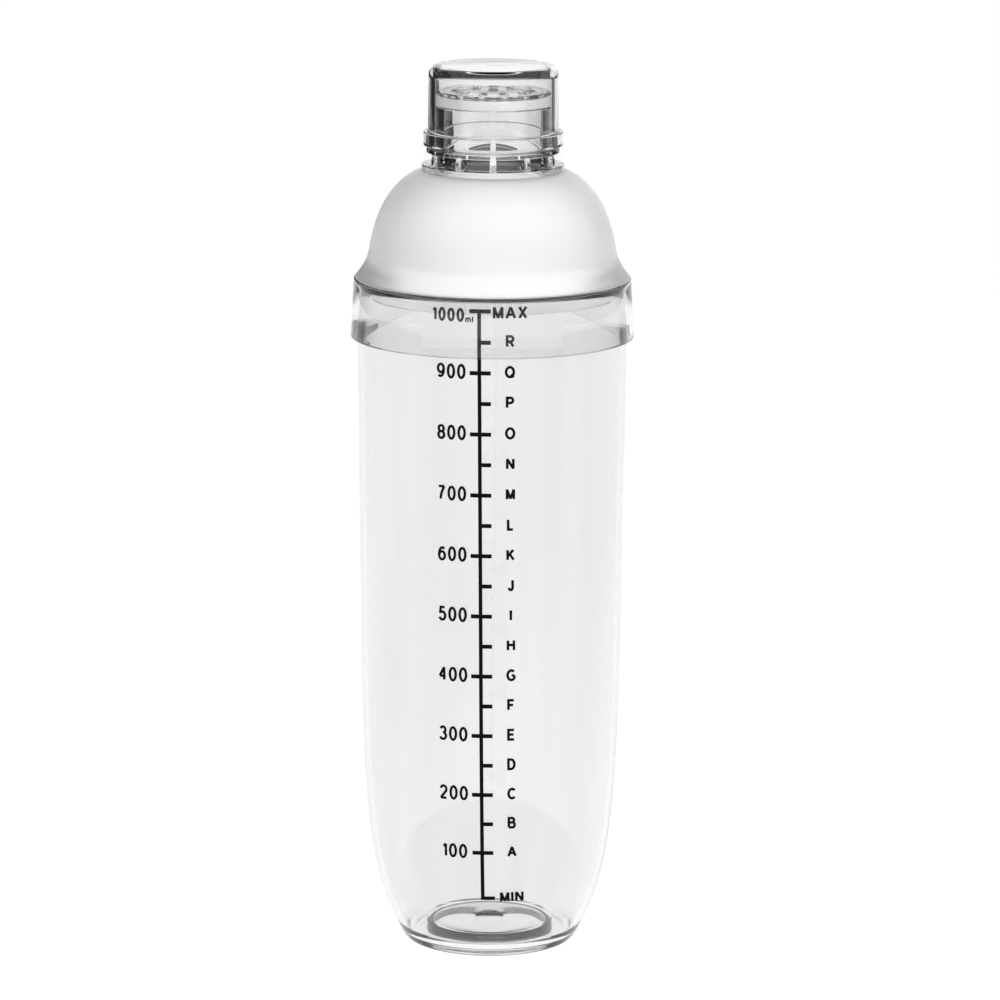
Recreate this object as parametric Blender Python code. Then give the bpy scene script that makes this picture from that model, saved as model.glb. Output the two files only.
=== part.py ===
"""Clear one-litre shaker bottle: a tall cup, a push-on strainer lid and a small push-on cap.

Every piece is turned about the world Z axis. Z = 0 is the surface that the cup stands on.
Outlines are (radius, height) points in millimetres and become metres when they are turned.
"""
import math

import bmesh
import bpy

MM = 0.001
SEGMENTS = 36          # facets round every turned piece
GAP = 0.35             # clearance between neighbouring pieces
EDGE = 0.5             # chamfer of most edges

# Cup
STAND_RADIUS = 25.1    # outer edge of the flat standing ring
FOOT_RADIUS = 28.7     # where the rounded foot runs into the lower part
FOOT_HEIGHT = 2.3
FOOT_PULLS = ((27.4, 0.0), (28.1, 1.1))
RECESS_RADIUS = 19.8   # hollow under the base, inside the standing ring
RECESS_DEPTH = 3.9
RECESS_TOP_RADIUS = 17.6
RECESS_PULLS = ((19.2, 3.9), (19.3, 3.6))
PLATEAU_HEIGHT = 6.4   # middle of the cup's floor, raised over the hollow
PLATEAU_RADIUS = 20.6
FLOOR_HEIGHT = 2.9     # lower ring of the floor round the raised middle
FLOOR_RADIUS = 23.6
CORNER_HEIGHT = 7.5    # where the inside of the wall starts to turn into the floor
CORNER_PULLS = ((27.8, 4.9), (25.6, 2.9))
BELLY_PULLS = ((38.0, 19.9), (41.45, 33.0))  # shape of the rounded lower part
BELLY_RADIUS = 42.34   # where the rounded lower part meets the straight wall
BELLY_HEIGHT = 110.0
SHOULDER_RADIUS = 43.3  # widest place, just under the lid
SHOULDER_HEIGHT = 196.0
RIM_RADIUS = 42.6
RIM_HEIGHT = 217.2
CUP_WALL = 2.2

# Lid
SKIRT_HEIGHT = 200.0   # lower edge of the skirt that hangs outside the cup
SKIRT_RADIUS = 45.6
LEDGE_RADIUS = 44.5    # top edge of the skirt, where the dome's flared foot meets it
LEDGE_HEIGHT = 218.7
CHANNEL_TOP = 218.4    # ceiling of the channel that takes the cup's rim and the seal
FLARE_PULLS = ((40.5, 224.0), (41.9, 221.9))
DOME_PULLS = ((38.0, 248.0), (39.1, 228.75))
DOME_FOOT_RADIUS = 40.1
DOME_FOOT_HEIGHT = 226.0
DOME_TOP_RADIUS = 23.1
DOME_TOP_HEIGHT = 253.6
LID_WALL = 2.0
PLUG_HEIGHT = 213.0    # lower edge of the short ring that centres the lid in the cup
PLUG_TAPER = 0.3
PLUG_TOP = 222.0       # where the inside of this ring meets the dome's inside
THROAT_RADIUS = 19.9   # where the dome's inside turns up into the neck
COLLAR_RADIUS = 22.8   # clear ring on top of the dome
COLLAR_HEIGHT = 255.5
SEAT_RADIUS = 21.3     # ring that the cap comes down to
SEAT_BOTTOM = 259.2
SEAT_TOP = 260.9
RIB_COUNT = 12
RIB_WIDTH = 2.0
RIB_RADIUS = 22.2
RIB_SLOPE = 1.6
RIB_SINK = 0.8         # how far the ribs run into the ring above and the collar below
NECK_RADIUS = 18.35
NECK_BORE = 15.9
NECK_HEIGHT = 279.0
GROOVE_RADIUS = 17.0   # holds the cap's sealing ring
GROOVE_BOTTOM = 274.3
GROOVE_TOP = 277.9
MOUTH_ROUNDING = 0.8
STRAINER_RADIUS = 15.0  # the perforated top is slightly domed out to here
STRAINER_RISE = 1.5
STRAINER_THICKNESS = 1.8
HOLE_RADIUS = 1.5
HOLE_SIDES = 8
HOLE_RINGS = ((0.0, 1), (6.3, 6), (12.4, 12))  # circle radius, holes on it

# Cap
CAP_BOTTOM = SEAT_TOP + 0.5
CAP_HEIGHT = 287.0
CAP_RADIUS = 20.9
FLANGE_RADIUS = 22.3
FLANGE_TOP = 266.0
CAP_BORE = NECK_RADIUS + GAP
CAP_CEILING = 285.2
CAP_EDGE = 2.6         # rounding of the outer top edge
CAP_DRAFT = 0.2        # the wall is narrower by this much at its top
CAP_CORNER = 2.4       # rounding inside the top
FLANGE_ROUNDING = 0.4
FLANGE_FILLET = 1.0
BORE_MOUTH = (0.5, 0.8)  # widening of the bore at its mouth: out and up

# Sealing rings
SEAL_GAP = 0.3
SEAL_THICKNESS = 0.6   # flat ring between the cup's rim and the lid
SEAL_ROUNDING = 0.4

SMOOTH_ANGLE = math.radians(30)
WELD = 1e-6


def arc(centre_r, centre_z, radius, start, end, steps):
    """Points on a circular arc, angles in degrees from the +radius direction."""
    points = []
    for i in range(steps + 1):
        angle = math.radians(start + (end - start) * i / steps)
        points.append((centre_r + radius * math.cos(angle), centre_z + radius * math.sin(angle)))
    return points


def bezier(p0, p1, p2, p3, steps):
    """Points on a cubic Bezier curve from p0 to p3."""
    points = []
    for i in range(steps + 1):
        t = i / steps
        weights = ((1 - t) ** 3, 3 * t * (1 - t) ** 2, 3 * t * t * (1 - t), t ** 3)
        points.append(tuple(sum(w * p[k] for w, p in zip(weights, (p0, p1, p2, p3))) for k in (0, 1)))
    return points


def offset(points, distance):
    """The same run of points moved to its left-hand side by a distance."""
    moved = []
    for i, (r, z) in enumerate(points):
        before = points[max(i - 1, 0)]
        after = points[min(i + 1, len(points) - 1)]
        dr, dz = after[0] - before[0], after[1] - before[1]
        length = math.hypot(dr, dz)
        moved.append((r - distance * dz / length, z + distance * dr / length))
    return moved


def plastic(name, colour, roughness, transmission=0.0):
    """A Principled plastic, clear when it transmits light."""
    material = bpy.data.materials.new(name)
    material.use_nodes = True
    shader = material.node_tree.nodes["Principled BSDF"]
    shader.inputs["Base Color"].default_value = (*colour, 1.0)
    shader.inputs["Roughness"].default_value = roughness
    shader.inputs["Metallic"].default_value = 0.0
    shader.inputs["Transmission Weight"].default_value = transmission
    return material


def add_object(name, bm, material):
    mesh = bpy.data.meshes.new(name)
    bm.to_mesh(mesh)
    bm.free()
    mesh.materials.append(material)
    mesh.shade_smooth()
    mesh.set_sharp_from_angle(angle=SMOOTH_ANGLE)
    obj = bpy.data.objects.new(name, mesh)
    bpy.context.scene.collection.objects.link(obj)
    return obj


def turned(name, outline, material):
    """A solid of revolution. An outline that doesn't end on the axis is closed into a ring."""
    bm = bmesh.new()
    verts = [bm.verts.new((r * MM, 0.0, z * MM)) for r, z in outline]
    edges = [bm.edges.new(pair) for pair in zip(verts, verts[1:])]
    if outline[0][0] > 0.0:
        edges.append(bm.edges.new((verts[-1], verts[0])))
    bmesh.ops.spin(bm, geom=verts + edges, cent=(0, 0, 0), axis=(0, 0, 1),
                   angle=2 * math.pi, steps=SEGMENTS, use_merge=True)
    bmesh.ops.remove_doubles(bm, verts=bm.verts, dist=WELD)
    bmesh.ops.recalc_face_normals(bm, faces=bm.faces)
    return add_object(name, bm, material)


def use_cutter(target, cutter, operation):
    """Join or cut the target with a helper object, which stays hidden."""
    cutter.hide_render = True
    cutter.display_type = "WIRE"
    modifier = target.modifiers.new(cutter.name, "BOOLEAN")
    modifier.object = cutter
    modifier.operation = operation
    modifier.solver = "EXACT"


def make_cup(material):
    """Base with a raised middle, rounded lower part, tapered wall and a rim that is drawn in a little."""
    hollow = bezier((RECESS_TOP_RADIUS, RECESS_DEPTH), *RECESS_PULLS, (RECESS_RADIUS, 0.0), 4)
    foot = bezier((STAND_RADIUS, 0.0), *FOOT_PULLS, (FOOT_RADIUS, FOOT_HEIGHT), 4)
    wall = bezier((FOOT_RADIUS, FOOT_HEIGHT), *BELLY_PULLS, (BELLY_RADIUS, BELLY_HEIGHT), 10)
    wall += [(SHOULDER_RADIUS, SHOULDER_HEIGHT), (RIM_RADIUS, RIM_HEIGHT - CUP_WALL / 2)]
    rim = arc(RIM_RADIUS - CUP_WALL / 2, RIM_HEIGHT - CUP_WALL / 2, CUP_WALL / 2, 30, 150, 4)
    inner = [point for point in offset(wall, CUP_WALL) if point[1] > CORNER_HEIGHT]
    corner = bezier(inner[0], *CORNER_PULLS, (FLOOR_RADIUS, FLOOR_HEIGHT), 5)
    plateau = [(PLATEAU_RADIUS, FLOOR_HEIGHT), (PLATEAU_RADIUS, PLATEAU_HEIGHT - EDGE / 2),
               (PLATEAU_RADIUS - EDGE / 2, PLATEAU_HEIGHT), (0.0, PLATEAU_HEIGHT)]
    outside = [(0.0, RECESS_DEPTH)] + hollow + foot[:-1] + wall + rim
    return turned("cup", outside + inner[:0:-1] + corner + plateau, material)


def strainer_face(height):
    """The slightly domed face of the strainer, from the axis out to its edge at a height."""
    steps = 3
    return [(STRAINER_RADIUS * i / steps, height + STRAINER_RISE * (1 - (i / steps) ** 2))
            for i in range(steps + 1)]


def neck_outline():
    """Strainer top, mouth, seal groove, ring that the cap rests on, and collar."""
    mouth = arc(NECK_RADIUS - MOUTH_ROUNDING, NECK_HEIGHT - MOUTH_ROUNDING, MOUTH_ROUNDING, 90, 0, 3)
    groove = [(NECK_RADIUS, GROOVE_TOP), (GROOVE_RADIUS, GROOVE_TOP),
              (GROOVE_RADIUS, GROOVE_BOTTOM), (NECK_RADIUS, GROOVE_BOTTOM)]
    seat = [(NECK_RADIUS, SEAT_TOP), (SEAT_RADIUS - EDGE, SEAT_TOP), (SEAT_RADIUS, SEAT_TOP - EDGE),
            (SEAT_RADIUS, SEAT_BOTTOM + EDGE), (SEAT_RADIUS - EDGE, SEAT_BOTTOM), (NECK_RADIUS, SEAT_BOTTOM)]
    collar = [(NECK_RADIUS, COLLAR_HEIGHT), (COLLAR_RADIUS - EDGE, COLLAR_HEIGHT),
              (COLLAR_RADIUS, COLLAR_HEIGHT - EDGE), (COLLAR_RADIUS, DOME_TOP_HEIGHT)]
    return strainer_face(NECK_HEIGHT) + mouth + groove + seat + collar


def skirt_outline():
    """Skirt outside the cup, channel over the cup's rim, and short ring inside the cup."""
    bore = RIM_RADIUS + GAP
    skirt = [(LEDGE_RADIUS, LEDGE_HEIGHT), (SKIRT_RADIUS, SKIRT_HEIGHT + EDGE),
             (SKIRT_RADIUS - EDGE, SKIRT_HEIGHT), (SHOULDER_RADIUS + GAP, SKIRT_HEIGHT),
             (bore, RIM_HEIGHT - CUP_WALL / 2), (bore, CHANNEL_TOP)]
    plug = RIM_RADIUS - CUP_WALL - GAP
    ring = [(plug, CHANNEL_TOP), (plug - PLUG_TAPER, PLUG_HEIGHT + EDGE),
            (plug - PLUG_TAPER - EDGE, PLUG_HEIGHT), (DOME_FOOT_RADIUS - LID_WALL, PLUG_HEIGHT)]
    return skirt + ring


def lid_outline():
    """The lid's whole section, down its outside and back up its inside."""
    dome = bezier((DOME_TOP_RADIUS, DOME_TOP_HEIGHT), *DOME_PULLS, (DOME_FOOT_RADIUS, DOME_FOOT_HEIGHT), 10)
    flare = bezier(dome[-1], *FLARE_PULLS, (LEDGE_RADIUS - 0.3, LEDGE_HEIGHT + 0.2), 5)
    inside = [(DOME_FOOT_RADIUS - LID_WALL, PLUG_TOP)]
    inside += [point for point in offset(dome[::-1], LID_WALL) if point[0] > THROAT_RADIUS]
    throat = DOME_TOP_HEIGHT - LID_WALL
    under = NECK_HEIGHT - STRAINER_THICKNESS
    bore = [(NECK_BORE + 1.0, throat), (NECK_BORE, throat + 1.0), (NECK_BORE, under - EDGE)]
    return (neck_outline() + dome + flare[1:] + skirt_outline() + inside + bore
            + strainer_face(under)[::-1])


def make_ribs(material):
    """Radial ribs between the collar and the seat ring, sunk into both and into the neck."""
    bm = bmesh.new()
    inner, outer = NECK_RADIUS - 1.0, RIB_RADIUS
    low, high = COLLAR_HEIGHT - RIB_SINK, SEAT_BOTTOM + RIB_SINK
    profile = [(inner, low), (outer, low), (outer, high - RIB_SLOPE), (SEAT_RADIUS - 0.2, high),
               (inner, high)]
    for i in range(RIB_COUNT):
        angle = 2 * math.pi * i / RIB_COUNT
        along = (math.cos(angle), math.sin(angle))
        sides = []
        for half in (-RIB_WIDTH / 2, RIB_WIDTH / 2):
            sides.append([bm.verts.new(((r * along[0] - half * along[1]) * MM,
                                        (r * along[1] + half * along[0]) * MM, z * MM))
                          for r, z in profile])
        bm.faces.new(sides[0])
        bm.faces.new(sides[1][::-1])
        for k in range(len(profile)):
            n = (k + 1) % len(profile)
            bm.faces.new((sides[0][k], sides[1][k], sides[1][n], sides[0][n]))
    bmesh.ops.recalc_face_normals(bm, faces=bm.faces)
    return add_object("lid_ribs", bm, material)


def make_holes(material):
    """Cutters for the strainer's holes."""
    bm = bmesh.new()
    depth = 3 * (STRAINER_THICKNESS + STRAINER_RISE) * MM
    for circle, count in HOLE_RINGS:
        for i in range(count):
            angle = 2 * math.pi * (i + 0.5) / count
            made = bmesh.ops.create_cone(bm, cap_ends=True, segments=HOLE_SIDES, depth=depth,
                                         radius1=HOLE_RADIUS * MM, radius2=HOLE_RADIUS * MM)
            place = (circle * MM * math.cos(angle), circle * MM * math.sin(angle), NECK_HEIGHT * MM)
            bmesh.ops.translate(bm, verts=made["verts"], vec=place)
    return add_object("strainer_holes", bm, material)


def make_lid(material):
    lid = turned("lid", lid_outline(), material)
    use_cutter(lid, make_ribs(material), "UNION")
    use_cutter(lid, make_holes(material), "DIFFERENCE")
    return lid


def make_lid_seal(material):
    """Flat dark ring in the top of the lid's channel, just above the cup's rim."""
    bottom = RIM_HEIGHT + SEAL_GAP
    top = bottom + SEAL_THICKNESS
    inner, outer = RIM_RADIUS - CUP_WALL, RIM_RADIUS
    return turned("lid_seal", [(inner, top), (outer, top), (outer, bottom), (inner, bottom)], material)


def make_cap_seal(material):
    """Soft ring in the neck's groove, with a rounded outer face."""
    bottom, top = GROOVE_BOTTOM + SEAL_GAP, GROOVE_TOP - SEAL_GAP
    inner, outer = GROOVE_RADIUS + SEAL_GAP, NECK_RADIUS
    outline = [(inner, top), (outer - SEAL_ROUNDING, top), (outer, top - SEAL_ROUNDING),
               (outer, bottom + SEAL_ROUNDING), (outer - SEAL_ROUNDING, bottom), (inner, bottom)]
    return turned("cap_seal", outline, material)


def make_cap(material):
    """Small cup-shaped cap with a flange at its lower edge."""
    shoulder = arc(CAP_RADIUS - CAP_DRAFT - CAP_EDGE, CAP_HEIGHT - CAP_EDGE, CAP_EDGE, 90, 0, 4)
    wall = arc(CAP_RADIUS + FLANGE_FILLET, FLANGE_TOP + FLANGE_FILLET, FLANGE_FILLET, 180, 270, 2)
    rounding = FLANGE_ROUNDING
    flange = arc(FLANGE_RADIUS - rounding, FLANGE_TOP - rounding, rounding, 90, 0, 2)
    flange += arc(FLANGE_RADIUS - rounding, CAP_BOTTOM + rounding, rounding, 0, -90, 2)
    bore = [(CAP_BORE + BORE_MOUTH[0], CAP_BOTTOM), (CAP_BORE, CAP_BOTTOM + BORE_MOUTH[1])]
    inside = arc(CAP_BORE - CAP_CORNER, CAP_CEILING - CAP_CORNER, CAP_CORNER, 0, 90, 4)
    outline = [(0.0, CAP_HEIGHT)] + shoulder + wall + flange + bore + inside + [(0.0, CAP_CEILING)]
    return turned("cap", outline, material)


def main():
    for obj in list(bpy.data.objects):
        bpy.data.objects.remove(obj, do_unlink=True)
    clear = plastic("clear_plastic", (0.93, 0.94, 0.94), 0.04, transmission=1.0)
    frosted = plastic("frosted_plastic", (0.88, 0.89, 0.89), 0.45, transmission=0.6)
    silicone = plastic("silicone", (0.92, 0.92, 0.91), 0.5)
    rubber = plastic("dark_rubber", (0.02, 0.02, 0.02), 0.6)
    make_cup(clear)
    make_lid(frosted)
    make_lid_seal(rubber)
    make_cap_seal(silicone)
    make_cap(clear)


main()
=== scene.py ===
"""Clear shaker bottle with a frosted lid and a printed scale, on a pale studio floor."""
import math

import bmesh
import bpy
from mathutils import Matrix, Vector


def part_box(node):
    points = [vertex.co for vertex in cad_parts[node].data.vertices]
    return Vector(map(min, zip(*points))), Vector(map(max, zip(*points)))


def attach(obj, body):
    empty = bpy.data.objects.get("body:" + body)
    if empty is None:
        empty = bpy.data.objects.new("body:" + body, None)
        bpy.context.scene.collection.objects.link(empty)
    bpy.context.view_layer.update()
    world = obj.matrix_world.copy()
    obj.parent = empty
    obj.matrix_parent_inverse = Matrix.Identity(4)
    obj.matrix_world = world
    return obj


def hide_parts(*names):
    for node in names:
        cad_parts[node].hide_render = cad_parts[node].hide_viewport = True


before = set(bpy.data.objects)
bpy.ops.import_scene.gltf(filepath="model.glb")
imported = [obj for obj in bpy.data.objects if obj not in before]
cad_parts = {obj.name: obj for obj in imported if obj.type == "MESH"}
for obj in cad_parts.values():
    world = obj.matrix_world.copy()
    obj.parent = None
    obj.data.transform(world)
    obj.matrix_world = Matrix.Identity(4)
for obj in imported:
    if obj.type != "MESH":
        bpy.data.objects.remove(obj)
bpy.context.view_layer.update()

MM = 0.001
SEGMENTS = 256           # facets round every turned piece
SMOOTH_ANGLE = math.radians(32)
SAME_POINT = 1e-7        # metres; points closer than this are merged

# Heights and radii that come from the frame, in millimetres
CUP_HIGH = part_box("cup")[1] / MM
LID_LOW, LID_HIGH = [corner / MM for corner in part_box("lid")]
CAP_LOW, CAP_HIGH = [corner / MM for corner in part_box("cap")]
LID_SEAL_LOW, LID_SEAL_HIGH = [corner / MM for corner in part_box("lid_seal")]
CAP_SEAL_LOW, CAP_SEAL_HIGH = [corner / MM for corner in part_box("cap_seal")]

# Cup; the pulls are the control points of its curves
FOOT = (28.7, 2.3)       # where the rounded foot runs into the lower part
FOOT_PULLS = ((27.4, 0.0), (28.1, 1.1))
STAND_RADIUS = 25.1      # outer edge of the flat standing ring
RECESS_RADIUS = 19.8     # hollow under the base
RECESS_TOP = (17.6, 3.9)
RECESS_PULLS = ((19.2, 3.9), (19.3, 3.6))
PLATEAU = (20.6, 6.4)    # middle of the floor, raised over the hollow
FLOOR = (23.6, 2.9)      # lower ring of the floor round it
CORNER_HEIGHT = 7.5      # where the inside of the wall starts to turn into the floor
CORNER_PULLS = ((27.8, 4.9), (25.6, 2.9))
BELLY = (42.34, 110.0)   # where the rounded lower part meets the wall
BELLY_PULLS = ((38.0, 19.9), (41.45, 33.0))
SHOULDER = (CUP_HIGH.x, 196.0)
RIM_RADIUS = LID_SEAL_HIGH.x
RIM_HEIGHT = CUP_HIGH.z
CUP_WALL = 2.2
GATE_RADIUS = 4.3        # round mark that the moulding leaves in the floor
GATE_DEPTH = 0.5

# Lid
SKIRT_RADIUS = LID_HIGH.x
SKIRT_HEIGHT = LID_LOW.z
SKIRT_SHOULDER = 202.5   # where the inside of the skirt starts to follow the cup's rim
LEDGE_RADIUS = 44.5      # top edge of the skirt
LEDGE_HEIGHT = 218.7
CHANNEL_TOP = 218.05     # a hair under the top of the seal, which is pressed against it
FLARE_PULLS = ((40.5, 224.0), (41.9, 221.9))
DOME_FOOT = (40.1, 226.0)
DOME_TOP = (23.1, 253.6)
DOME_PULLS = ((38.0, 248.0), (39.1, 228.75))
LID_WALL = 2.0
PLUG_HEIGHT = 213.0      # lower edge of the short ring inside the cup
PLUG_TAPER = 0.3
PLUG_TOP = 222.0         # where the inside of the ring runs into the dome
LID_GAP = 0.35           # between the cup's rim and the lid
COLLAR_RADIUS = 22.8
COLLAR_HEIGHT = 255.5
SEAT_RADIUS = 21.3
SEAT_BOTTOM = 259.2
SEAT_TOP = 260.9
RIB_COUNT = 12
RIB_WIDTH = 2.0
RIB_RADIUS = 22.2
RIB_SLOPE = 1.6
RIB_SINK = 0.8           # how far the ribs run into the ring above and the collar below
NECK_RADIUS = CAP_SEAL_HIGH.x
NECK_BORE = 15.9
NECK_HEIGHT = 279.0
SEAL_GAP = 0.3
GROOVE_RADIUS = 17.0
GROOVE = (CAP_SEAL_LOW.z - SEAL_GAP, CAP_SEAL_HIGH.z + SEAL_GAP)
STRAINER_THICKNESS = 1.8
HOLE_RADIUS = 1.5
HOLE_RINGS = ((0.0, 1), (6.3, 6), (12.4, 12))  # circle radius, holes on it

# Cap
CAP_RADIUS = 20.9
CAP_BORE = 18.7
CAP_CEILING = 285.2
CAP_EDGE = 2.6           # rounding outside
CAP_CORNER = 2.4         # rounding inside
FLANGE_TOP = 266.0

# Rounding of sharp edges
EDGES = {"cup": 0.5, "cup floor": 0.25, "lid": 0.35, "rib": 0.25, "cap": 0.4, "seal": 0.35}

# Camera, metres and degrees
CAMERA_PLACE = (0.0, -1.6237, 0.4823)
CAMERA_PITCH = -11.71
CAMERA_PAN = -0.0984
CAMERA_ROLL = 0.3
CAMERA_LENS = 184.5

# Dark cards beside the bottle: name, its two ends on plan in metres, grey level
CARDS = (("card_left", (-0.16, 0.55), (-0.5, -0.3), 0.02),
         ("card_right", (0.3, 0.5), (0.5, -0.3), 0.1))
CARD_LOW, CARD_HIGH = 0.17, 0.6  # metres

# Softboxes: name, place, height on the bottle's axis that it faces, size, watts
SOFTBOXES = (("key_right", (0.85, -0.64, 0.85), 0.24, 0.7, 11.0),
             ("fill_left", (-0.4, -1.2, 0.5), 0.23, 0.6, 9.0),
             ("top", (0.0, 0.1, 1.5), 0.25, 0.8, 8.0))

# Light of the room, by direction
ROOM = 0.05              # dim everywhere but at the back
WALL = 0.95              # bright wall behind the bottle
WALL_SIDE = (-0.1, 0.7)  # the wall fades in over this range of the direction's y
WALL_TOP = (0.25, 0.45)  # and out over this range of its z
FLOOR_GLOW = 0.98
FLOOR_REACH = 8.0        # metres from its middle to its edges
FLOOR_DROP = 0.0002      # metres, clear of the standing ring

# Clear plastic: how much light its surface lets in, 1 for all
CLEAR_TINT = 0.96
CUP_TINT = 0.885
# Painted shade: near-black tint of the same clear plastic, put on the cup's step and on the lid's neck
# between the ribs
PAINTED_SHADE_TINT = 0.03
PLASTIC_IOR = 1.5
SILICONE_IOR = 1.41
NOISE_RANGE = (0.3, 0.7)  # nearly all of a noise pattern's values lie in it


# ---------------------------------------------------------------- outlines

def arc(centre_r, centre_z, radius, start, end, steps):
    """Points on a circular arc, angles in degrees from the +radius direction."""
    points = []
    for i in range(steps + 1):
        angle = math.radians(start + (end - start) * i / steps)
        points.append((centre_r + radius * math.cos(angle), centre_z + radius * math.sin(angle)))
    return points


def bezier(p0, p1, p2, p3, steps):
    """Points on a cubic Bezier curve from p0 to p3."""
    points = []
    for i in range(steps + 1):
        t = i / steps
        weights = ((1 - t) ** 3, 3 * t * (1 - t) ** 2, 3 * t * t * (1 - t), t ** 3)
        points.append(tuple(sum(w * p[k] for w, p in zip(weights, (p0, p1, p2, p3))) for k in (0, 1)))
    return points


def offset(points, distance):
    """The same run of points moved to its left-hand side by a distance."""
    moved = []
    for i, (r, z) in enumerate(points):
        before = points[max(i - 1, 0)]
        after = points[min(i + 1, len(points) - 1)]
        dr, dz = after[0] - before[0], after[1] - before[1]
        length = math.hypot(dr, dz)
        moved.append((r - distance * dz / length, z + distance * dr / length))
    return moved


def rounded(points, radius, closed=False, least_turn=math.radians(18), steps=4):
    """The outline with each sharp corner replaced by a small arc-like curve."""
    result = []
    count = len(points)
    for i, point in enumerate(points):
        if not closed and i in (0, count - 1):
            result.append(point)
            continue
        here = Vector(point)
        before = Vector(points[i - 1]) - here
        after = Vector(points[(i + 1) % count]) - here
        turn = math.pi - before.angle(after)
        if turn < least_turn:
            result.append(point)
            continue
        cut = min(radius * math.tan(turn / 2), 0.45 * before.length, 0.45 * after.length)
        start, end = here + before.normalized() * cut, here + after.normalized() * cut
        for k in range(steps + 1):
            t = k / steps
            result.append(tuple(start * (1 - t) ** 2 + here * 2 * t * (1 - t) + end * t * t))
    return result


# ---------------------------------------------------------------- meshes

def add_object(name, bm, materials):
    mesh = bpy.data.meshes.new(name)
    bm.to_mesh(mesh)
    bm.free()
    for material in materials:
        mesh.materials.append(material)
    mesh.shade_smooth()
    mesh.set_sharp_from_angle(angle=SMOOTH_ANGLE)
    obj = bpy.data.objects.new(name, mesh)
    bpy.context.scene.collection.objects.link(obj)
    return obj


def turned(name, outline, materials, segments=SEGMENTS):
    """A solid of revolution. An outline that doesn't end on the axis is closed into a ring."""
    bm = bmesh.new()
    verts = [bm.verts.new((r * MM, 0.0, z * MM)) for r, z in outline]
    edges = [bm.edges.new(pair) for pair in zip(verts, verts[1:])]
    if outline[0][0] > 0.0:
        edges.append(bm.edges.new((verts[-1], verts[0])))
    bmesh.ops.spin(bm, geom=verts + edges, cent=(0, 0, 0), axis=(0, 0, 1),
                   angle=2 * math.pi, steps=segments, use_merge=True)
    bmesh.ops.remove_doubles(bm, verts=bm.verts, dist=SAME_POINT)
    bmesh.ops.recalc_face_normals(bm, faces=bm.faces)
    return add_object(name, bm, materials)


def place_of(face):
    """Radius and height of a face's middle in millimetres, and whether it faces away from the axis."""
    centre, normal = face.center, face.normal
    outward = centre.x * normal.x + centre.y * normal.y > 0
    return math.hypot(centre.x, centre.y) / MM, centre.z / MM, outward


def apply_boolean(target, cutter, operation):
    """Joins or cuts the target with a helper object, and removes the helper."""
    modifier = target.modifiers.new("boolean", "BOOLEAN")
    modifier.object = cutter
    modifier.operation = operation
    modifier.solver = "EXACT"
    bpy.context.view_layer.update()
    evaluated = target.evaluated_get(bpy.context.evaluated_depsgraph_get())
    mesh = bpy.data.meshes.new_from_object(evaluated)
    target.modifiers.clear()
    target.data = mesh
    bpy.data.objects.remove(cutter, do_unlink=True)
    mesh.shade_smooth()
    mesh.set_sharp_from_angle(angle=SMOOTH_ANGLE)


# ---------------------------------------------------------------- materials

def new_material(name):
    material = bpy.data.materials.new(name)
    material.use_nodes = True
    tree = material.node_tree
    return material, tree, tree.nodes["Principled BSDF"]


def noise(tree, scale, detail=2.0, stretch=(1.0, 1.0, 1.0)):
    """Noise in the piece's own coordinates; stretch is the scale along each axis."""
    coordinates = tree.nodes.new("ShaderNodeTexCoord")
    mapping = tree.nodes.new("ShaderNodeMapping")
    mapping.inputs["Scale"].default_value = stretch
    texture = tree.nodes.new("ShaderNodeTexNoise")
    texture.inputs["Scale"].default_value = scale
    texture.inputs["Detail"].default_value = detail
    tree.links.new(coordinates.outputs["Object"], mapping.inputs["Vector"])
    tree.links.new(mapping.outputs["Vector"], texture.inputs["Vector"])
    return texture.outputs["Fac"]


def mapped(tree, value, start, end, low, high, kind="LINEAR"):
    """The value mapped from the range start to end onto the range low to high."""
    node = tree.nodes.new("ShaderNodeMapRange")
    node.interpolation_type = kind
    for socket, number in (("From Min", start), ("From Max", end), ("To Min", low), ("To Max", high)):
        node.inputs[socket].default_value = number
    tree.links.new(value, node.inputs["Value"])
    return node.outputs["Result"]


def uneven_roughness(tree, shader, scale, low, high):
    """Roughness that wanders between two values."""
    pattern = mapped(tree, noise(tree, scale), *NOISE_RANGE, low, high)
    tree.links.new(pattern, shader.inputs["Roughness"])


def grey(level):
    return (level, level, level, 1.0)


def graded_colour(tree, shader, pattern, dark, light, start=0.0, end=1.0):
    """Base colour that goes from dark to light as the pattern goes from start to end."""
    ramp = tree.nodes.new("ShaderNodeValToRGB")
    for element, position, colour in zip(ramp.color_ramp.elements, (start, end), (dark, light)):
        element.position = position
        element.color = colour
    tree.links.new(pattern, ramp.inputs["Fac"])
    tree.links.new(ramp.outputs["Color"], shader.inputs["Base Color"])


def bump(tree, shader, height, distance, strength=1.0):
    node = tree.nodes.new("ShaderNodeBump")
    node.inputs["Strength"].default_value = strength
    node.inputs["Distance"].default_value = distance
    tree.links.new(height, node.inputs["Height"])
    tree.links.new(node.outputs["Normal"], shader.inputs["Normal"])


def let_lamps_through(tree, shader, tint):
    """Rays from lamps pass straight through, so that the plastic throws only a faint shadow."""
    path = tree.nodes.new("ShaderNodeLightPath")
    clear = tree.nodes.new("ShaderNodeBsdfTransparent")
    clear.inputs["Color"].default_value = (*tint, 1.0)
    mix = tree.nodes.new("ShaderNodeMixShader")
    tree.links.new(path.outputs["Is Shadow Ray"], mix.inputs["Fac"])
    tree.links.new(shader.outputs["BSDF"], mix.inputs[1])
    tree.links.new(clear.outputs["BSDF"], mix.inputs[2])
    tree.links.new(mix.outputs["Shader"], tree.nodes["Material Output"].inputs["Surface"])


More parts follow.
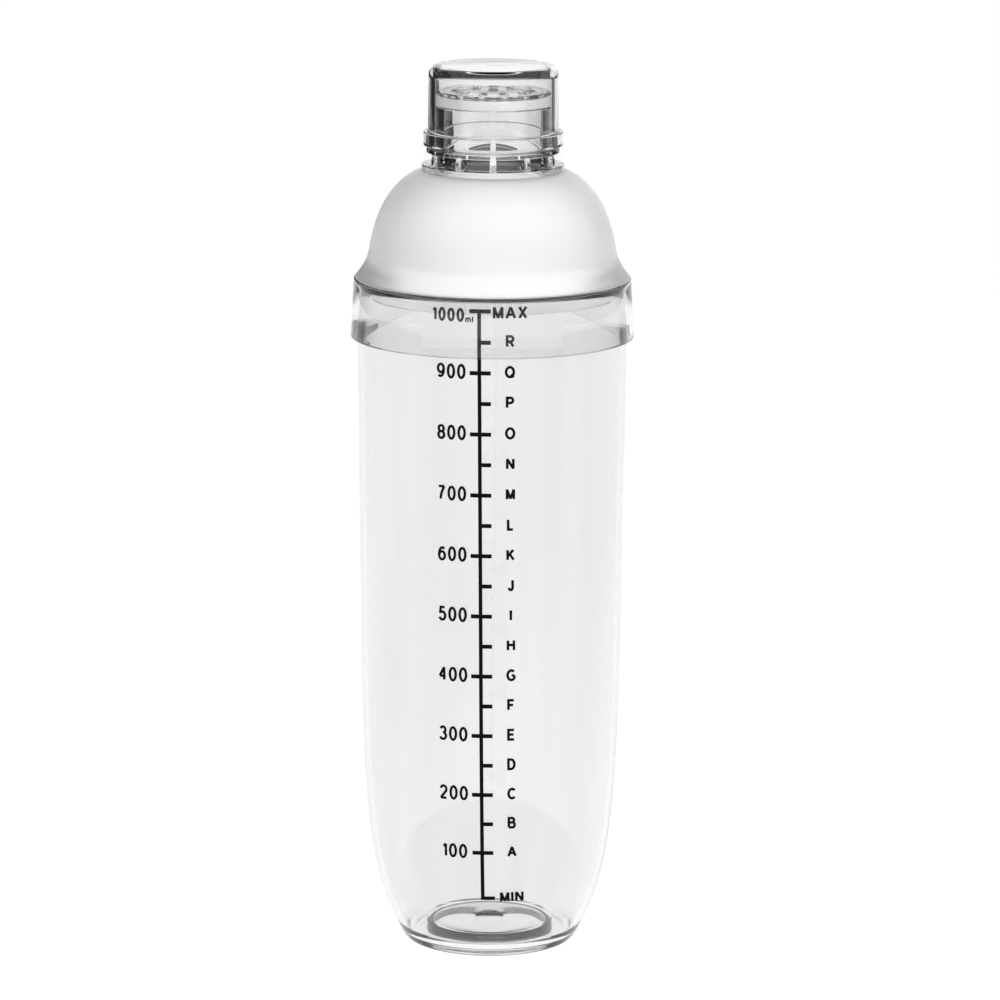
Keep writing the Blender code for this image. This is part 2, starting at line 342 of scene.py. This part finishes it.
def clear_plastic(name, tint):
    """Polished clear plastic with the faint clouds and the vertical flow of a moulding."""
    material, tree, shader = new_material(name)
    flow = noise(tree, 90.0, 1.0, (1.0, 1.0, 0.07))
    cloud = noise(tree, 22.0, 2.0, (1.0, 1.0, 0.5))
    mixed = tree.nodes.new("ShaderNodeMix")
    mixed.inputs["Factor"].default_value = 0.5
    tree.links.new(flow, mixed.inputs["A"])
    tree.links.new(cloud, mixed.inputs["B"])
    dark = (tint - 0.02, tint - 0.016, tint - 0.016, 1.0)
    light = (tint + 0.02, tint + 0.021, tint + 0.021, 1.0)
    graded_colour(tree, shader, mixed.outputs["Result"], dark, light, 0.38, 0.62)
    shader.inputs["Transmission Weight"].default_value = 1.0
    shader.inputs["IOR"].default_value = PLASTIC_IOR
    uneven_roughness(tree, shader, 60.0, 0.0, 0.02)
    bump(tree, shader, flow, 0.00003)
    let_lamps_through(tree, shader, (0.96, 0.965, 0.965))
    return material


def frosted_plastic():
    """The finely etched outside of the dome."""
    material, tree, shader = new_material("frosted_plastic")
    shader.inputs["Base Color"].default_value = (0.97, 0.973, 0.973, 1.0)
    shader.inputs["Transmission Weight"].default_value = 0.7
    shader.inputs["IOR"].default_value = PLASTIC_IOR
    uneven_roughness(tree, shader, 900.0, 0.42, 0.55)
    bump(tree, shader, noise(tree, 2500.0, 3.0), 0.00002, 0.4)
    let_lamps_through(tree, shader, (0.9, 0.9, 0.9))
    return material


def silicone():
    """Translucent soft ring with a satin, slightly dusty surface."""
    material, tree, shader = new_material("silicone")
    shader.inputs["Base Color"].default_value = (0.82, 0.82, 0.81, 1.0)
    shader.inputs["Transmission Weight"].default_value = 0.6
    shader.inputs["IOR"].default_value = SILICONE_IOR
    uneven_roughness(tree, shader, 700.0, 0.35, 0.5)
    bump(tree, shader, noise(tree, 1500.0, 2.0), 0.00002, 0.3)
    let_lamps_through(tree, shader, (0.85, 0.85, 0.84))
    return material


def dark_rubber():
    """Black rubber with a fine dusty grain."""
    material, tree, shader = new_material("dark_rubber")
    graded_colour(tree, shader, noise(tree, 900.0, 3.0), grey(0.008), grey(0.03))
    uneven_roughness(tree, shader, 700.0, 0.5, 0.7)
    bump(tree, shader, noise(tree, 1500.0, 2.0), 0.00002, 0.3)
    return material


def ink():
    """Black screen-printed ink, a little uneven."""
    material, tree, shader = new_material("scale_ink")
    graded_colour(tree, shader, noise(tree, 1200.0, 3.0), grey(0.001), grey(0.005))
    uneven_roughness(tree, shader, 800.0, 0.4, 0.6)
    shader.inputs["Specular IOR Level"].default_value = 0.05
    return material


def floor_paper():
    """White light table: matt, and evenly lit from below."""
    material, tree, shader = new_material("floor_paper")
    shader.inputs["Emission Color"].default_value = grey(1.0)
    shader.inputs["Emission Strength"].default_value = FLOOR_GLOW
    graded_colour(tree, shader, noise(tree, 6.0), grey(0.1), grey(0.12))
    shader.inputs["Roughness"].default_value = 0.9
    shader.inputs["Specular IOR Level"].default_value = 0.1
    return material


# ---------------------------------------------------------------- cup

def cup_outer():
    """The outside of the wall, from the foot up to the rim."""
    belly = bezier(FOOT, *BELLY_PULLS, BELLY, 60)
    above = bezier(BELLY, (BELLY[0] + 0.32, BELLY[1] + 28.7), (SHOULDER[0] - 0.3, SHOULDER[1] - 26.0),
                   SHOULDER, 20)[1:]
    rim = bezier(SHOULDER, (SHOULDER[0] + 0.03, SHOULDER[1] + 3.0), (RIM_RADIUS + 0.35, 204.0),
                 (RIM_RADIUS, RIM_HEIGHT - 1.0), 12)[1:]
    return belly + above + rim


def cup_radius(z):
    """Outer radius of the cup at a height."""
    for (r0, z0), (r1, z1) in zip(CUP_OUTER, CUP_OUTER[1:]):
        if z <= z1:
            return r0 + (r1 - r0) * (z - z0) / (z1 - z0)
    return CUP_OUTER[-1][0]


def make_cup(material, painted_shade_material):
    """Base, wall and rim. The step round the floor's raised middle has a near-black material of its own,
    painted shade.
    """
    foot = [(0.0, RECESS_TOP[1])] + bezier(RECESS_TOP, *RECESS_PULLS, (RECESS_RADIUS, 0.0), 16)
    foot += bezier((STAND_RADIUS, 0.0), *FOOT_PULLS, FOOT, 12)[:-1]
    rim = arc(RIM_RADIUS - CUP_WALL / 2, RIM_HEIGHT - CUP_WALL / 2, CUP_WALL / 2, 10, 170, 12)
    inner = [p for p in offset(CUP_OUTER, CUP_WALL) if p[1] > CORNER_HEIGHT]
    corner = bezier(inner[0], *CORNER_PULLS, FLOOR, 12)
    middle = [(PLATEAU[0], FLOOR[1]), PLATEAU, (GATE_RADIUS + 0.3, PLATEAU[1]),
              (GATE_RADIUS, PLATEAU[1] - 0.4), (GATE_RADIUS - 0.5, PLATEAU[1] - GATE_DEPTH),
              (0.0, PLATEAU[1] - GATE_DEPTH)]
    outline = rounded(foot + CUP_OUTER, EDGES["cup"]) + rim + inner[:0:-1]
    outline += rounded(corner + middle, EDGES["cup floor"])
    cup = turned("cup_shell", outline, [material, painted_shade_material])
    # Painted shade: the faces of the step round the raised middle take the near-black plastic
    for face in cup.data.polygons:
        radius, height, _ = place_of(face)
        between = FLOOR[1] + 0.1 < height < PLATEAU[1] - 0.1
        face.material_index = int(between and abs(radius - PLATEAU[0]) < 0.3)
    return cup


# ---------------------------------------------------------------- printed scale

# Millimetres; places across are arc lengths from the scale's upright line
LINE_WIDTH = 1.18
TICK_WIDTH = 1.3
MARK_STEP = 19.6         # height of 100 ml
TOP_MARK = 214.8         # height of the 1000 ml mark
BOTTOM_MARK = 22.6       # height of the lowest mark
TICK_LEFT = 3.1
TICK_RIGHT = 3.6
INK_LIFT = 0.04          # clear of the wall
INK_THICKNESS = 0.06
BAR_PART = (1.0, 2.0)    # greatest width and height of a bar's faces
FIGURE_HEIGHT = 4.9
LETTER_HEIGHT = 4.0
FIGURE_PLACE = -9.1      # middle of the numbers
LETTER_PLACE = 9.6       # middle of the letters
LABEL_RAISE = 0.4        # of a label's middle over its mark
STROKE_WIDTH = 0.84
LETTER_GAP = 0.12        # space between characters, as a share of their height
MITRE_LIMIT = 1.5
SHARP_TURN = math.radians(95)
SCALE_TURN = -3.3        # degrees from the front at SCALE_TURN_HEIGHT
SCALE_TURN_HEIGHT = 20.0
SCALE_LEAN = -0.0111     # degrees for each millimetre above it


def column_angle(z):
    """Angle of the scale's line from the front, in radians. The print leans very slightly."""
    return math.radians(SCALE_TURN + SCALE_LEAN * (z - SCALE_TURN_HEIGHT))


def on_cup(x, z, lift):
    """The point of the cup's outside at an arc length from the scale's line, lifted off the wall."""
    radius = cup_radius(z)
    angle = column_angle(z) + x / radius
    out = radius + lift
    return Vector((out * math.sin(angle), -out * math.cos(angle), z)) * MM


def add_bar(bm, x0, x1, z0, z1):
    """A strip of ink that follows the wall."""
    across = max(1, math.ceil((x1 - x0) / BAR_PART[0]))
    up = max(1, math.ceil((z1 - z0) / BAR_PART[1]))
    sheets = []
    for lift in (INK_LIFT, INK_LIFT + INK_THICKNESS):
        sheets.append([[bm.verts.new(on_cup(x0 + (x1 - x0) * i / across, z0 + (z1 - z0) * k / up, lift))
                        for i in range(across + 1)] for k in range(up + 1)])
    low, high = sheets
    for k in range(up):
        for i in range(across):
            bm.faces.new((high[k][i], high[k][i + 1], high[k + 1][i + 1], high[k + 1][i]))
            bm.faces.new((low[k][i], low[k + 1][i], low[k + 1][i + 1], low[k][i + 1]))
    for k in range(up):
        bm.faces.new((low[k][0], high[k][0], high[k + 1][0], low[k + 1][0]))
        bm.faces.new((low[k][-1], low[k + 1][-1], high[k + 1][-1], high[k][-1]))
    for i in range(across):
        bm.faces.new((low[0][i], low[0][i + 1], high[0][i + 1], high[0][i]))
        bm.faces.new((low[-1][i], high[-1][i], high[-1][i + 1], low[-1][i + 1]))


def make_scale_line(material):
    """The upright line with the bar at its top and the foot at its bottom."""
    bm = bmesh.new()
    half, thick = LINE_WIDTH / 2, TICK_WIDTH / 2
    add_bar(bm, -half, half, BOTTOM_MARK - thick, TOP_MARK + thick)
    add_bar(bm, -TICK_LEFT, -half, TOP_MARK - thick, TOP_MARK + thick)
    add_bar(bm, half, TICK_RIGHT, TOP_MARK - thick, TOP_MARK + thick)
    add_bar(bm, half, TICK_RIGHT + 0.3, BOTTOM_MARK - thick, BOTTOM_MARK + thick)
    return add_object("scale_line", bm, [material])


def make_scale_ticks(material):
    """A tick to both sides every 100 ml, and one to the right between them."""
    bm = bmesh.new()
    half, thick = LINE_WIDTH / 2, TICK_WIDTH / 2
    for i in range(1, 19):
        z = TOP_MARK - i * MARK_STEP / 2
        add_bar(bm, half, TICK_RIGHT, z - thick, z + thick)
        if i % 2 == 0:
            add_bar(bm, -TICK_LEFT, -half, z - thick, z + thick)
    return add_object("scale_ticks", bm, [material])


def bow(x, y, across, up, start=90.0, end=-90.0, steps=10):
    """Points on part of an ellipse."""
    turns = [math.radians(start + (end - start) * i / steps) for i in range(steps + 1)]
    return [(x + across * math.cos(turn), y + up * math.sin(turn)) for turn in turns]


def ring(x, y, across, up):
    return bow(x, y, across, up, 90.0, 450.0, 20)


def letter_strokes():
    """Middle lines of plain sans-serif characters, one unit high."""
    six = [bezier((0.0, 0.32), (-0.02, 0.75), (0.2, 1.12), (0.52, 0.86), 8),
           ring(0.28, 0.32, 0.28, 0.32)]
    bowl = [(0.0, 0.0), (0.0, 1.0)] + bow(0.36, 0.74, 0.26, 0.26) + [(0.0, 0.48)]
    return {
        "0": [ring(0.28, 0.5, 0.28, 0.5)],
        "1": [[(0.08, 0.78), (0.32, 1.0), (0.32, 0.0)]],
        "2": [bow(0.28, 0.72, 0.27, 0.28, 170.0, -35.0) + [(0.0, 0.0), (0.56, 0.0)]],
        "3": [bow(0.26, 0.76, 0.24, 0.24, 160.0, -90.0) + bow(0.26, 0.27, 0.29, 0.27, 80.0, -160.0)],
        "4": [[(0.43, 0.0), (0.43, 1.0), (0.0, 0.3), (0.58, 0.3)]],
        "5": [[(0.5, 1.0), (0.12, 1.0), (0.05, 0.5)] + bow(0.27, 0.32, 0.29, 0.32, 135.0, -160.0)],
        "6": six,
        "7": [[(0.0, 1.0)] + bezier((0.55, 1.0), (0.38, 0.78), (0.2, 0.4), (0.18, 0.0), 8)],
        "8": [ring(0.28, 0.76, 0.24, 0.24), ring(0.28, 0.27, 0.28, 0.27)],
        "9": [[(0.56 - x, 1.0 - y) for x, y in stroke] for stroke in six],
        "A": [[(0.0, 0.0), (0.38, 1.0), (0.76, 0.0)], [(0.13, 0.33), (0.63, 0.33)]],
        "B": [[(0.0, 0.0), (0.0, 1.0)] + bow(0.34, 0.765, 0.22, 0.235) + [(0.0, 0.53)],
              [(0.0, 0.53)] + bow(0.38, 0.265, 0.25, 0.265) + [(0.0, 0.0)]],
        "C": [bow(0.38, 0.5, 0.38, 0.5, 42.0, 318.0, 16)],
        "D": [[(0.0, 1.0)] + bow(0.28, 0.5, 0.36, 0.5) + [(0.0, 0.0), (0.0, 1.0)]],
        "E": [[(0.6, 1.0), (0.0, 1.0), (0.0, 0.0), (0.62, 0.0)], [(0.0, 0.52), (0.55, 0.52)]],
        "F": [[(0.58, 1.0), (0.0, 1.0), (0.0, 0.0)], [(0.0, 0.5), (0.5, 0.5)]],
        "G": [bow(0.4, 0.5, 0.4, 0.5, 45.0, 320.0, 16) + [(0.74, 0.47), (0.44, 0.47)]],
        "H": [[(0.0, 0.0), (0.0, 1.0)], [(0.64, 0.0), (0.64, 1.0)], [(0.0, 0.53), (0.64, 0.53)]],
        "I": [[(0.0, 0.0), (0.0, 1.0)]],
        "J": [[(0.4, 1.0)] + bow(0.2, 0.27, 0.2, 0.27, 0.0, -170.0)],
        "K": [[(0.0, 0.0), (0.0, 1.0)], [(0.6, 1.0), (0.0, 0.36)], [(0.22, 0.58), (0.64, 0.0)]],
        "L": [[(0.0, 1.0), (0.0, 0.0), (0.5, 0.0)]],
        "M": [[(0.0, 0.0), (0.0, 1.0), (0.36, 0.04), (0.72, 1.0), (0.72, 0.0)]],
        "N": [[(0.0, 0.0), (0.0, 1.0), (0.64, 0.0), (0.64, 1.0)]],
        "O": [ring(0.41, 0.5, 0.41, 0.5)],
        "P": [bowl],
        "Q": [ring(0.41, 0.5, 0.41, 0.5), [(0.5, 0.24), (0.8, -0.04)]],
        "R": [bowl, [(0.32, 0.48), (0.64, 0.0)]],
        "X": [[(0.0, 0.0), (0.62, 1.0)], [(0.0, 1.0), (0.62, 0.0)]],
        "m": [[(0.0, 0.0), (0.0, 0.75)], bow(0.22, 0.5, 0.22, 0.22, 180.0, 0.0) + [(0.44, 0.0)],
              bow(0.66, 0.5, 0.22, 0.22, 180.0, 0.0) + [(0.88, 0.0)]],
        "l": [[(0.0, 0.0), (0.0, 1.0)]],
    }


def sides_of(points, half):
    """The two edges of a line of a width, mitred at its corners."""
    closed = points[0] == points[-1]
    left, right = [], []
    for i, point in enumerate(points):
        here = Vector(point)
        before = here - Vector(points[i - 1 if i else -2]) if i or closed else None
        following = i < len(points) - 1
        after = Vector(points[i + 1 if following else 1]) - here if following or closed else None
        before, after = (before or after).normalized(), (after or before).normalized()
        along = (before + after).normalized()
        reach = half * min(1.0 / max(along.dot(after), 0.1), MITRE_LIMIT)
        across = Vector((-along.y, along.x)) * reach
        left.append(here + across)
        right.append(here - across)
    return left, right


def runs(points):
    """The stroke cut into parts at its sharpest corners, where each part gets a square end."""
    part = [points[0]]
    for before, point, after in zip(points, points[1:], points[2:]):
        part.append(point)
        turn = (Vector(point) - Vector(before)).angle(Vector(after) - Vector(point))
        if turn > SHARP_TURN:
            yield part
            part = [point]
    yield part + [points[-1]]


def add_stroke(bm, points, half):
    """One stroke of a character as a thin strip of ink on the wall. Points are in millimetres."""
    corners = []
    for side in sides_of(points, half):
        for lift in (INK_LIFT, INK_LIFT + INK_THICKNESS):
            corners.append([bm.verts.new(on_cup(x, z, lift)) for x, z in side])
    left_low, left_high, right_low, right_high = corners
    for i in range(len(points) - 1):
        for edge, other in ((left_high, right_high), (right_low, left_low),
                            (left_low, left_high), (right_high, right_low)):
            bm.faces.new((edge[i], other[i], other[i + 1], edge[i + 1]))
    if points[0] != points[-1]:
        bm.faces.new((left_low[0], right_low[0], right_high[0], left_high[0]))
        bm.faces.new((left_low[-1], left_high[-1], right_high[-1], right_low[-1]))


def add_label(bm, text, height, place, z, stroke=STROKE_WIDTH, squeeze=1.0):
    """Text on the cup. place is the arc length from the scale's line to the middle of the text."""
    tall = height - stroke
    x = 0.0
    pieces = []
    for character in text:
        strokes = CHARACTERS[character]
        width = max(px for points in strokes for px, _ in points) * tall * squeeze
        pieces += [[(x + px * tall * squeeze, z - tall / 2 + pz * tall) for px, pz in part]
                   for points in strokes for part in runs(points)]
        x += width + stroke + LETTER_GAP * height
    shift = place - (x - stroke - LETTER_GAP * height) / 2
    for points in pieces:
        add_stroke(bm, [(px + shift, pz) for px, pz in points], stroke / 2)


def add_print(name, bm, material):
    """Joins the ends of closed strokes and turns all faces outwards."""
    bmesh.ops.remove_doubles(bm, verts=bm.verts, dist=SAME_POINT)
    bmesh.ops.recalc_face_normals(bm, faces=bm.faces)
    return add_object(name, bm, [material])


def make_scale_numbers(material):
    """The numbers at the full marks, and the unit beside the highest."""
    bm = bmesh.new()
    for i in range(1, 10):
        add_label(bm, str(1000 - 100 * i), FIGURE_HEIGHT, FIGURE_PLACE,
                  TOP_MARK - i * MARK_STEP + LABEL_RAISE, squeeze=0.85)
    add_label(bm, "1000", FIGURE_HEIGHT - 0.5, FIGURE_PLACE - 0.9, TOP_MARK - 1.3, squeeze=0.8)
    add_label(bm, "ml", 2.2, FIGURE_PLACE + 6.0, TOP_MARK - 2.6, stroke=0.45, squeeze=0.9)
    return add_print("scale_numbers", bm, material)


def make_scale_letters(material):
    """The letters at all marks, and the words at the highest and the lowest."""
    bm = bmesh.new()
    for i, letter in enumerate("RQPONMLKJIHGFEDCBA"):
        z = TOP_MARK - (i + 1) * MARK_STEP / 2 + LABEL_RAISE
        add_label(bm, letter, LETTER_HEIGHT, LETTER_PLACE, z, squeeze=0.95)
    add_label(bm, "MAX", 4.3, LETTER_PLACE, TOP_MARK - 0.4)
    add_label(bm, "MIN", 4.0, LETTER_PLACE - 0.2, BOTTOM_MARK + 0.4)
    return add_print("scale_letters", bm, material)


# ---------------------------------------------------------------- lid

def lid_outline():
    """Strainer top, neck, collar, dome, skirt, seal channel, ring inside the cup, and inside."""
    crown = LID_HIGH.z
    strainer = bezier((0.0, crown), (8.0, crown), (12.0, NECK_HEIGHT), (15.6, NECK_HEIGHT), 10)
    neck = [(NECK_RADIUS, NECK_HEIGHT), (NECK_RADIUS, GROOVE[1]), (GROOVE_RADIUS, GROOVE[1]),
            (GROOVE_RADIUS, GROOVE[0]), (NECK_RADIUS, GROOVE[0])]
    seat = [(NECK_RADIUS, SEAT_TOP), (SEAT_RADIUS, SEAT_TOP), (SEAT_RADIUS, SEAT_BOTTOM),
            (NECK_RADIUS, SEAT_BOTTOM)]
    collar = [(NECK_RADIUS, COLLAR_HEIGHT), (COLLAR_RADIUS, COLLAR_HEIGHT), (COLLAR_RADIUS, DOME_TOP[1])]
    dome = bezier(DOME_TOP, *DOME_PULLS, DOME_FOOT, 48)
    flare = bezier(DOME_FOOT, *FLARE_PULLS, (LEDGE_RADIUS - 0.3, LEDGE_HEIGHT + 0.2), 16)[1:]
    skirt = [(LEDGE_RADIUS, LEDGE_HEIGHT), (SKIRT_RADIUS, SKIRT_HEIGHT), (SHOULDER[0] + 0.4, SKIRT_HEIGHT),
             (SHOULDER[0] + 0.1, SKIRT_SHOULDER), (RIM_RADIUS + LID_GAP, RIM_HEIGHT - 1.0),
             (RIM_RADIUS + LID_GAP, CHANNEL_TOP)]
    plug_top = RIM_RADIUS - CUP_WALL - LID_GAP
    plug = [(plug_top, CHANNEL_TOP), (plug_top - PLUG_TAPER, PLUG_HEIGHT),
            (DOME_FOOT[0] - LID_WALL, PLUG_HEIGHT)]
    inside = [(DOME_FOOT[0] - LID_WALL, PLUG_TOP)]
    inside += [p for p in offset(dome[::-1], LID_WALL) if p[0] > NECK_BORE + 4.0]
    under = NECK_HEIGHT - STRAINER_THICKNESS
    bore = [(NECK_BORE, DOME_TOP[1] - LID_WALL), (NECK_BORE, under)]
    bore += bezier((0.0, crown - STRAINER_THICKNESS), (8.0, crown - STRAINER_THICKNESS), (12.0, under),
                   (14.5, under), 10)[::-1]
    outside = strainer + neck + seat + collar + dome + flare
    return rounded(outside + skirt + plug + inside + bore, EDGES["lid"])


def make_ribs(material):
    """Radial ribs between the collar and the seat ring, sunk into both and into the neck."""
    bm = bmesh.new()
    inner, low, high = NECK_RADIUS - 1.0, COLLAR_HEIGHT - RIB_SINK, SEAT_BOTTOM + RIB_SINK
    profile = [(inner, low), (RIB_RADIUS, low), (RIB_RADIUS, high - RIB_SLOPE), (SEAT_RADIUS - 0.2, high),
               (inner, high)]
    for i in range(RIB_COUNT):
        turn = Matrix.Rotation(2 * math.pi * i / RIB_COUNT, 4, "Z")
        sides = [[bm.verts.new(turn @ Vector((r * MM, half * MM, z * MM))) for r, z in profile]
                 for half in (-RIB_WIDTH / 2, RIB_WIDTH / 2)]
        bm.faces.new(sides[0])
        bm.faces.new(sides[1][::-1])
        for k in range(len(profile)):
            n = (k + 1) % len(profile)
            bm.faces.new((sides[0][k], sides[1][k], sides[1][n], sides[0][n]))
    bmesh.ops.recalc_face_normals(bm, faces=bm.faces)
    bmesh.ops.bevel(bm, geom=bm.edges[:], offset=EDGES["rib"] * MM, segments=2, affect="EDGES")
    return add_object("ribs", bm, [material])


def make_holes(material):
    """Cutters for the strainer's holes."""
    bm = bmesh.new()
    for circle, count in HOLE_RINGS:
        for i in range(count):
            angle = 2 * math.pi * (i + 0.5) / count
            made = bmesh.ops.create_cone(bm, cap_ends=True, segments=24, depth=10 * MM,
                                         radius1=HOLE_RADIUS * MM, radius2=HOLE_RADIUS * MM)
            place = (circle * MM * math.cos(angle), circle * MM * math.sin(angle), NECK_HEIGHT * MM)
            bmesh.ops.translate(bm, verts=made["verts"], vec=place)
    return add_object("holes", bm, [material])


def make_lid(clear, frosted, dark):
    """One moulding: frosted outside the dome, near-black painted shade on the neck between the ribs, and
    clear elsewhere.
    """
    lid = turned("lid_shell", lid_outline(), [clear, frosted, dark])
    apply_boolean(lid, make_ribs(clear), "UNION")
    apply_boolean(lid, make_holes(clear), "DIFFERENCE")
    for face in lid.data.polygons:
        radius, height, outward = place_of(face)
        on_dome = LEDGE_HEIGHT + 0.4 < height < DOME_TOP[1] + 0.05 and radius > DOME_TOP[0] - 0.4
        on_neck = COLLAR_HEIGHT < height < SEAT_BOTTOM and abs(radius - NECK_RADIUS) < 0.2
        face.material_index = 0
        if outward and on_dome:
            face.material_index = 1
        # Painted shade: the neck's outside between the ribs takes the near-black plastic
        elif outward and on_neck:
            face.material_index = 2
    return lid


def make_cap(material):
    """Small cup-shaped cap, upside down, with a flange at its lower edge."""
    top, bottom, flange = CAP_HIGH.z, CAP_LOW.z, CAP_HIGH.x
    outside = [(0.0, top)] + arc(CAP_RADIUS - 0.2 - CAP_EDGE, top - CAP_EDGE, CAP_EDGE, 90, 0, 12)
    wall = [(CAP_RADIUS, FLANGE_TOP + 0.3), (CAP_RADIUS + 0.3, FLANGE_TOP), (flange, FLANGE_TOP),
            (flange, bottom), (CAP_BORE + 0.5, bottom), (CAP_BORE + 0.1, bottom + 0.8)]
    inside = arc(CAP_BORE - CAP_CORNER, CAP_CEILING - CAP_CORNER, CAP_CORNER, 0, 90, 12)
    inside.append((0.0, CAP_CEILING))
    return turned("cap_shell", rounded(outside + wall + inside, EDGES["cap"]), [material])


def make_ring(name, low, high, inner, material):
    """A soft sealing ring with rounded edges."""
    outline = [(inner, high.z), (high.x, high.z), (high.x, low.z), (inner, low.z)]
    return turned(name, rounded(outline, EDGES["seal"], closed=True), [material], 128)


# ---------------------------------------------------------------- stage

def make_floor(material):
    bm = bmesh.new()
    bmesh.ops.create_grid(bm, x_segments=1, y_segments=1, size=FLOOR_REACH)
    bmesh.ops.translate(bm, verts=bm.verts, vec=(0.0, 0.0, -FLOOR_DROP))
    floor = add_object("floor", bm, [material])


def make_world():
    """A dim room with a bright low wall at the back."""
    world = bpy.data.worlds.new("studio")
    world.use_nodes = True
    tree = world.node_tree
    background = tree.nodes["Background"]
    coordinates = tree.nodes.new("ShaderNodeTexCoord")
    split = tree.nodes.new("ShaderNodeSeparateXYZ")
    tree.links.new(coordinates.outputs["Generated"], split.inputs["Vector"])
    behind = mapped(tree, split.outputs["Y"], *WALL_SIDE, 0.0, 1.0, "SMOOTHSTEP")
    low = mapped(tree, split.outputs["Z"], *WALL_TOP, WALL, 0.0, "SMOOTHSTEP")
    wall = tree.nodes.new("ShaderNodeMath")
    wall.operation = "MULTIPLY_ADD"
    tree.links.new(behind, wall.inputs[0])
    tree.links.new(low, wall.inputs[1])
    wall.inputs[2].default_value = ROOM
    background.inputs["Color"].default_value = grey(1.0)
    tree.links.new(wall.outputs["Value"], background.inputs["Strength"])
    bpy.context.scene.world = world


def add_softbox(name, place, target, size, power):
    light = bpy.data.lights.new(name, "AREA")
    light.shape = "RECTANGLE"
    light.size = light.size_y = size
    light.energy = power
    obj = bpy.data.objects.new(name, light)
    obj.location = place
    obj.rotation_euler = (Vector(target) - Vector(place)).to_track_quat("-Z", "Y").to_euler()
    obj.visible_glossy = False
    obj.visible_transmission = False
    bpy.context.scene.collection.objects.link(obj)


def make_lights():
    """Three softboxes that light the frosted dome. Their sharp reflections are left out."""
    for name, place, height, size, power in SOFTBOXES:
        add_softbox(name, place, (0.0, 0.0, height), size, power)


def add_card(name, start, end, level):
    """A dark card beside the bottle. Only reflections and refractions show it."""
    bm = bmesh.new()
    corners = [(*start, CARD_LOW), (*end, CARD_LOW), (*end, CARD_HIGH), (*start, CARD_HIGH)]
    bm.faces.new([bm.verts.new(corner) for corner in corners])
    material, tree, shader = new_material(name)
    shader.inputs["Base Color"].default_value = grey(level)
    shader.inputs["Roughness"].default_value = 0.9
    shader.inputs["Specular IOR Level"].default_value = 0.1
    card = add_object(name, bm, [material])
    card.visible_camera = False
    card.visible_diffuse = False
    card.visible_shadow = False


def make_cards():
    for name, start, end, level in CARDS:
        add_card(name, start, end, level)


def make_camera():
    data = bpy.data.cameras.new("camera")
    data.lens = CAMERA_LENS
    data.sensor_width = 36.0
    camera = bpy.data.objects.new("camera", data)
    camera.matrix_world = (Matrix.Translation(CAMERA_PLACE)
                           @ Matrix.Rotation(math.radians(CAMERA_PAN), 4, "Z")
                           @ Matrix.Rotation(math.radians(90.0 + CAMERA_PITCH), 4, "X")
                           @ Matrix.Rotation(math.radians(CAMERA_ROLL), 4, "Z"))
    bpy.context.scene.collection.objects.link(camera)
    bpy.context.scene.camera = camera


def place(piece, body, slot, *nodes):
    """The piece rides on a body and stands for CAD nodes. The slot is not used."""
    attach(piece, body)
    if nodes:
        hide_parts(*nodes)


CUP_OUTER = cup_outer()
CHARACTERS = letter_strokes()

scene = bpy.context.scene
scene.view_settings.view_transform = "Standard"
scene.cycles.max_bounces = 24
scene.cycles.transmission_bounces = 24

clear = clear_plastic("clear_plastic", CLEAR_TINT)
black = ink()
# Near-black clear plastic that paints shade onto the cup's step and onto the lid's neck between the ribs
dark = clear_plastic("painted_shade_plastic", PAINTED_SHADE_TINT)
place(make_cup(clear_plastic("cup_plastic", CUP_TINT), dark), "cup", "clear_plastic", "cup")
for make in (make_scale_line, make_scale_ticks, make_scale_numbers, make_scale_letters):
    place(make(black), "cup", "scale_print")
place(make_lid(clear, frosted_plastic(), dark), "lid", "frosted_plastic", "lid")
place(make_ring("lid_seal_ring", LID_SEAL_LOW, LID_SEAL_HIGH, RIM_RADIUS - CUP_WALL, dark_rubber()),
      "lid", "dark_rubber", "lid_seal")
place(make_ring("cap_seal_ring", CAP_SEAL_LOW, CAP_SEAL_HIGH, GROOVE_RADIUS + SEAL_GAP, silicone()),
      "lid", "silicone", "cap_seal")
place(make_cap(clear), "cap", "clear_plastic", "cap")

make_floor(floor_paper())
make_world()
make_lights()
make_cards()
make_camera()
